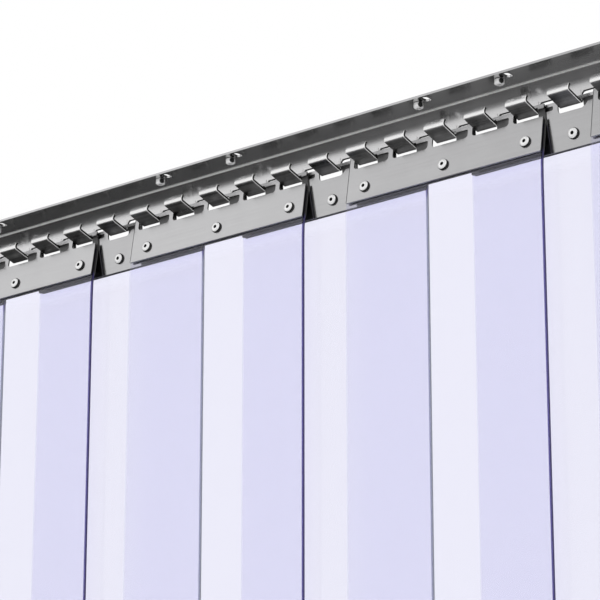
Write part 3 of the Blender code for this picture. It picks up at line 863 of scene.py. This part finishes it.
def plate_piece(front, back_y, top_z, foot_z, rivet_z, rivets):
    profile = [(back_y, top_z), (back_y, foot_z)]
    if front:
        curl = [k / 10 for k in range(11)]
        profile[1:] = [(back_y - FOOT_CURL * t ** 2, foot_z + CURL_HEIGHT * (1 - t)) for t in curl]
    plate = swept_sheet("plate", profile, -HALF_PLATE, HALF_PLATE, PLATE, -1.0)
    tool = bmesh.new()
    depth = (back_y - 8 * MM, back_y + PAST)
    for outline in windows(front, top_z) + foot_corners(foot_z):
        add_prism(tool, outline, "Y", *depth)
    for x in rivets:
        add_bore(tool, x, rivet_z, BORE_RADIUS, *depth)
    return plate, [cut(plate, tool)]


print("hook plate ready,", round(2 * HALF_PLATE * 1000, 1), "mm wide")

# %% [markdown]
# ## Clamp plate
# Behind the strip a thinner plate takes the rivets' tails. Its tabs stand up between the fingers and
# lean forward to the bar, so that the strip can't slip out over the top. Its steel is painted dark as
# the shade it lies in behind the windows.

# %% Clamp plate
CLAMP = 1.2 * MM
STRIP = 2.0 * MM
CLAMP_TOP = 16.9 * MM
TAB_DROP = {True: 3.7 * MM, False: 2.2 * MM}


def clamp_piece(front, back_y, top_z, foot_z, rivet_z, rivets):
    flat_y = back_y + GAP + STRIP + GAP
    flat_top = top_z - CLAMP_TOP
    tab_top = top_z - TAB_DROP[front]
    clamp = swept_sheet("clamp", [(back_y + GAP, tab_top), (flat_y, flat_top), (flat_y, foot_z)],
                        -HALF_PLATE, HALF_PLATE, CLAMP, 1.0)
    tool = bmesh.new()
    depth = (-PAST, flat_y + 6 * MM)
    low, high = flat_top + GAP, tab_top + PAST
    for k in range(5):
        m = (k - 2) * PITCH
        a = m - 16 * MM if k else -HALF_PLATE - PAST
        b = m + 10.9 * MM
        add_prism(tool, fillet([(a, low, SIDE_CORNER if k else 0), (b, low, SIDE_CORNER),
                                (b, high, 0), (a, high, 0)]), "Y", *depth)
    for outline in foot_corners(foot_z):
        add_prism(tool, outline, "Y", *depth)
    for x in rivets:
        add_bore(tool, x, rivet_z, BORE_RADIUS, *depth)
    return clamp, [cut(clamp, tool)]


print("clamp plate ready")

# %% [markdown]
# ## Strip
# The strip leaves the plates at their slant and bends under its own weight until it hangs plumb. The
# bend dies away like an exponential, which is how a heavy soft strip settles. Below it the strip runs
# straight down in eight lengths.

# %% Strip
HALF_STRIP = 100 * MM
STRIP_TOP = 17.2 * MM
DROP = 2.0
BEND_STEPS = 28


def strip_piece(back_y, top_z, foot_z, rivet_z, rivets, lean, bar_z):
    y, z = back_y + GAP + STRIP / 2, foot_z
    path = [(y, top_z - STRIP_TOP), (y, foot_z)]
    for k in range(BEND_STEPS):
        turn = lean * (1 - math.exp(-(k + 0.5) / 8))
        y -= MM * math.sin(turn)
        z -= MM * math.cos(turn)
        path.append((y, z))
    down = y * math.sin(lean) + z * math.cos(lean) + bar_z + DROP
    path += [(y - down * math.sin(lean) * k / 8, z - down * math.cos(lean) * k / 8) for k in range(1, 9)]
    strip = swept_sheet("strip", path, -HALF_STRIP, HALF_STRIP, STRIP, 0)
    tool = bmesh.new()
    for x in rivets:
        add_bore(tool, x, rivet_z, BORE_RADIUS, path[0][0] - PAST, path[0][0] + PAST)
    return strip, [cut(strip, tool)]


print("strip ready,", DROP, "m drop")

# %% [markdown]
# ## One blind rivet
# A blind rivet has a domed head with a hole in its middle, where the mandrel was pulled and snapped off,
# and a swelled tail behind the clamp plate. All rivets share one profile. Its steel is painted near
# white as a highlight, and its hole and its rim, which are in shadow, get the dark steel as painted
# shade.

# %% Rivet
RIVET_HEAD, RIVET_SHANK = 5.0 * MM, 2.4 * MM
RIVET_FLAT = 1.9 * MM
stack = PLATE + GAP + STRIP + GAP + CLAMP
tail_foot = -stack - 2.2 * MM
dome = [(RIVET_FLAT + 3.1 * MM * math.sin(t), GAP + 2.35 * MM * math.cos(t) ** 0.8 + 0.05 * MM)
        for t in [math.pi / 2 * k / 8 * 0.97 for k in range(9)]]
bore = [(0, GAP - 1.5 * MM), (1.2 * MM, GAP - 1.5 * MM), (1.35 * MM, GAP + 1.9 * MM),
        (1.6 * MM, GAP + 2.3 * MM)]
tail = [(RIVET_HEAD, GAP), (RIVET_SHANK, GAP), (RIVET_SHANK, -stack - GAP),
        (3.4 * MM, -stack - 0.6 * MM), (3.3 * MM, -stack - 1.7 * MM),
        (2.6 * MM, tail_foot), (0, tail_foot)]


def blind_rivet(name, place):
    rivet = spun(name, bore + dome + tail)
    freeze(rivet, [], highlight_rivet_steel, edge=0, place=place, smooth=55)
    rivet.data.materials.append(cut_edge_shade_steel)
    for face in rivet.data.polygons:
        spot = place.inverted() @ face.center
        r = math.hypot(spot.x, spot.y)
        # Painted shade on the hole and the rim.
        if r > 4.3 * MM or (r < 1.5 * MM and spot.z > -STRIP):
            face.material_index = 1
    return rivet


print("rivet stack", round(stack * 1000, 2), "mm")

# %% [markdown]
# ## The hanging units
# Each unit is a hook plate, a strip and a clamp plate, held by three rivets. Units alternate between a
# back and a front layer. Where they overlap they push each other apart, so the front ones lean out by
# nine degrees and the back ones in by two. Everything of a unit is made upright about its own bar and
# then turned by that lean.

# %% Hang the units
UNIT_SHIFT = 0.8 * MM
PLATE_FOOT = 68.4 * MM
CLAMP_RISE = 0.3 * MM
RIVET_UP, RIVET_SHIFT, RIVET_SPACE = 12 * MM, 1.8 * MM, 82 * MM
LAYERS = {True: (-9.0, 3.47 * MM, 25.25 * MM), False: (2.0, 1.75 * MM, 27.05 * MM)}
rivets = [RIVET_SHIFT + k * RIVET_SPACE for k in (-1, 0, 1)]
for n in range(1, 9):
    front = n % 2 == 0
    lean_degrees, bar_out, bar_down = LAYERS[front]
    lean = math.radians(lean_degrees)
    bar_z = -SHEET - bar_down
    place = Matrix.Translation(((n - 4.5) * 3 * PITCH + UNIT_SHIFT, FACE_Y - bar_out, bar_z))
    place = place @ Matrix.Rotation(lean, 4, "X")
    top_z, back_y = (0.0, 0.0) if front else (BAR / 2, PLATE / 2)
    foot_z = -(bar_z + SHEET + PLATE_FOOT) / math.cos(lean)
    rivet_z = foot_z + RIVET_UP
    body = "unit_%d" % n

    plate, tools = plate_piece(front, back_y, top_z, foot_z, rivet_z, rivets)
    plate.name = "plate_%d" % n
    freeze(plate, tools, plate_steel, place=place)
    dark_ends(plate)
    stand_for(plate, "hook_plate_%d" % n, body)

    clamp, tools = clamp_piece(front, back_y, top_z, foot_z + CLAMP_RISE, rivet_z, rivets)
    clamp.name = "clamp_%d" % n
    freeze(clamp, tools, shaded_clamp_steel, place=place)
    stand_for(clamp, "clamp_plate_%d" % n, body)

    strip, tools = strip_piece(back_y, top_z, foot_z + CLAMP_RISE, rivet_z, rivets, lean, bar_z)
    strip.name = "pvc_%d" % n
    freeze(strip, tools, pvc, edge=0, place=place)
    strip.data.materials.append(edge_pvc)
    for face in strip.data.polygons:
        if abs(face.normal.x) > 0.9 or abs(face.normal.z) > 0.9:
            face.material_index = 1
    stand_for(strip, "strip_%d" % n, body)

    for x, side in zip(rivets, ("left", "mid", "right")):
        turn = Matrix.Translation((x, back_y - PLATE, rivet_z)) @ Matrix.Rotation(math.pi / 2, 4, "X")
        rivet = blind_rivet("blind_rivet_%d_%s" % (n, side), place @ turn)
        stand_for(rivet, "rivet_%d_%s" % (n, side), body)
    print(body, "front" if front else "back", "made")

# %% [markdown]
# ## Floor
# The curtain ends a little above a plain pale floor, as in a doorway. The steel doesn't mirror it, so
# that the undersides stay as dark as in the photograph.

# %% Floor
FLOOR_Z = -2.04
floor_bm = bmesh.new()
bmesh.ops.create_grid(floor_bm, x_segments=1, y_segments=1, size=6.0,
                      matrix=Matrix.Translation((0, 0, FLOOR_Z)))
floor = link("floor", floor_bm)
paint = bpy.data.materials.new("pale floor")
paint.use_nodes = True
paint.node_tree.nodes["Principled BSDF"].inputs["Base Color"].default_value = (0.9, 0.9, 0.9, 1)
paint.node_tree.nodes["Principled BSDF"].inputs["Roughness"].default_value = 0.8
floor.data.materials.append(paint)
floor.visible_glossy = False
print("floor at", FLOOR_Z, "m")
